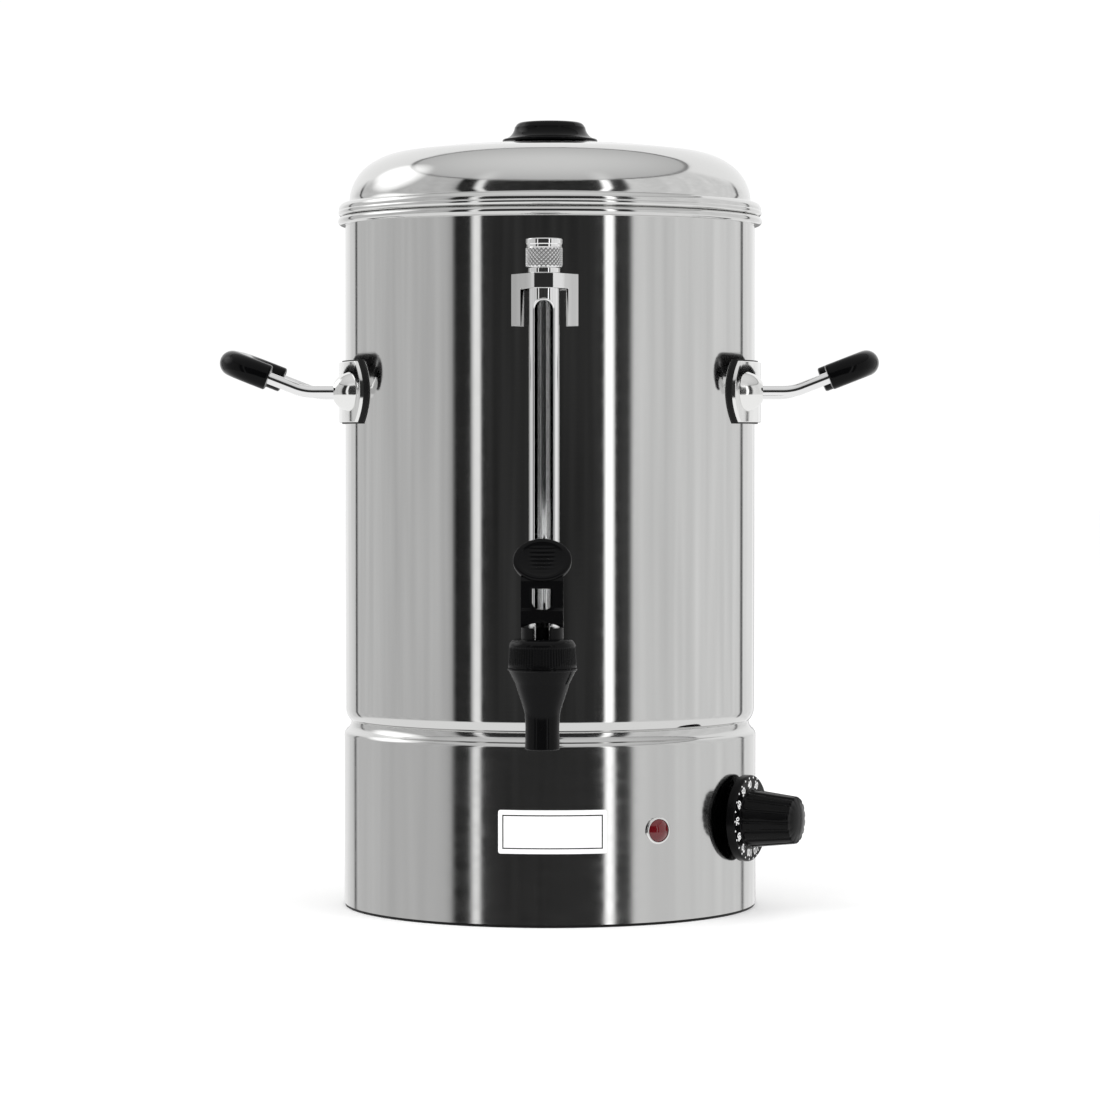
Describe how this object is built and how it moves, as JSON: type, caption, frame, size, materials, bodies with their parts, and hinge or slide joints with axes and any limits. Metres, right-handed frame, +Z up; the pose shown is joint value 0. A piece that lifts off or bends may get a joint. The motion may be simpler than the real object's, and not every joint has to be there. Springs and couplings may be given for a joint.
{
  "type": "hot water urn",
  "caption": "Polished steel hot water urn: lift-off domed lid, side handles, sight gauge, lever tap, and a heated base with thermostat knob and pilot lamp.",
  "frame": {"origin": "on the tank's axis, in the plane of the foot ring's underside, which the urn stands on", "axes": "+Z up along the tank's axis, -Y towards the tap and sight gauge, +X towards the thermostat knob's side"},
  "size_m": [0.3652, 0.3156, 0.438],
  "materials": {
    "polished_steel": "polished stainless sheet with faint round polish lines",
    "polished_plate": "polished stainless pressing",
    "plain_sheet": "plain rolled sheet",
    "zinc_screw": "bright zinc plate",
    "chrome_fitting": "bright chrome plate",
    "chrome_rod": "bright polished bar",
    "bezel_chrome": "bright ring",
    "spring_steel": "drawn bar",
    "element_steel": "dull heat-tinted sheath",
    "copper_tube": "drawn copper",
    "brass_nut": "turned brass",
    "black_gloss": "black moulding, glossy",
    "black_grip": "black moulded grip, glossy",
    "black_plastic": "black moulding, satin",
    "white_nylon": "natural nylon",
    "black_rubber": "black rubber",
    "silicone": "translucent silicone",
    "clear_glass": "clear gauge glass",
    "red_lens": "dark red translucent dome",
    "white_label": "white enamel plate with a thin black border",
    "button_red": "red moulding"
  },
  "bodies": {
    "urn": {"base_plate": "plain_sheet", "base_plate_screws": "zinc_screw", "base_skirt": "polished_steel", "cable_gland": "black_plastic", "cutout_nut": "zinc_screw", "cutout_washer": "silicone", "foot_ring": "black_rubber", "gauge_block": "chrome_fitting", "gauge_bracket": "chrome_fitting", "gauge_glass": "clear_glass", "gauge_neck": "chrome_fitting", "gauge_neck_nut": "chrome_fitting", "gauge_seals": "silicone", "gauge_shield": "chrome_fitting", "gland_locknut": "black_plastic", "handle_gasket_left": "black_rubber", "handle_gasket_right": "black_rubber", "handle_grip_left": "black_grip", "handle_grip_right": "black_grip", "handle_nuts": "zinc_screw", "handle_plate_left": "polished_plate", "handle_plate_right": "polished_plate", "handle_rod_left": "chrome_rod", "handle_rod_right": "chrome_rod", "heater_nuts": "brass_nut", "heater_seals": "silicone", "heating_element": "element_steel", "label_plate": "white_label", "overheat_cutout": "black_plastic", "pilot_bezel": "bezel_chrome", "pilot_body": "black_plastic", "pilot_lens": "red_lens", "pilot_nut": "black_plastic", "skirt_lugs": "plain_sheet", "tank_floor": "polished_steel", "tank_shell": "polished_steel", "tap_body": "black_gloss", "tap_bonnet": "black_gloss", "tap_shank_nut": "black_plastic", "tap_spring": "spring_steel", "tap_washers": "silicone", "terminal_block": "white_nylon", "thermostat_body": "black_plastic", "thermostat_pocket": "spring_steel", "thermostat_probe": "copper_tube", "thermostat_screws": "zinc_screw", "thermostat_spacer": "plain_sheet"},
    "lid": {"lid": "polished_steel", "lid_knob": "black_gloss", "lid_knob_washer": "zinc_screw", "lid_knob_screw": "zinc_screw"},
    "tap_lever": {"tap_lever": "black_gloss"},
    "tap_stem": {"tap_stem": "black_gloss", "tap_seat_cup": "silicone", "tap_pivot_pin": "spring_steel"},
    "thermostat_knob": {"thermostat_knob": "black_gloss", "thermostat_shaft": "spring_steel"},
    "gauge_cap_seal": {"gauge_cap_seal": "silicone"},
    "gauge_cap": {"gauge_cap": "chrome_fitting"},
    "reset_button": {"reset_button": "button_red"}
  },
  "joints": [
    {"name": "lid_lift", "type": "slide", "parent": "urn", "child": "lid", "axis": [0, 0, 1], "range_m": [0, 0.12]},
    {"name": "stem_lift", "type": "slide", "parent": "urn", "child": "tap_stem", "axis": [0, 0, 1], "range_m": [0, 0.004], "deforming": ["tap_spring"]},
    {"name": "lever_pull", "type": "hinge", "parent": "tap_stem", "child": "tap_lever", "pos_m": [0, -0.1625, 0.167], "axis": [1, 0, 0], "range_deg": [0, 40], "stiffness_Nm_per_rad": 0.15, "springref_deg": -11.46},
    {"name": "thermostat_turn", "type": "hinge", "parent": "urn", "child": "thermostat_knob", "pos_m": [0.10459, -0.04877, 0.053], "axis": [0.9063, -0.4226, 0], "range_deg": [-230, 0]},
    {"name": "cap_seal_rise", "type": "slide", "parent": "urn", "child": "gauge_cap_seal", "axis": [0, 0, 1], "range_m": [0, 0.00375]},
    {"name": "cap_unscrew", "type": "hinge", "parent": "gauge_cap_seal", "child": "gauge_cap", "pos_m": [0, -0.1275, 0.36], "axis": [0, 0, 1], "range_deg": [0, 1080]},
    {"name": "reset_press", "type": "slide", "parent": "urn", "child": "reset_button", "axis": [-0.4226, -0.9063, 0], "range_m": [0, 0.002], "stiffness_N_per_m": 400, "springref_m": -0.001}
  ],
  "couplings": [
    {"joint": "lever_pull", "follows": "stem_lift", "rad_per_m": 174.53},
    {"joint": "cap_unscrew", "follows": "cap_seal_rise", "rad_per_m": 5026.5}
  ]
}
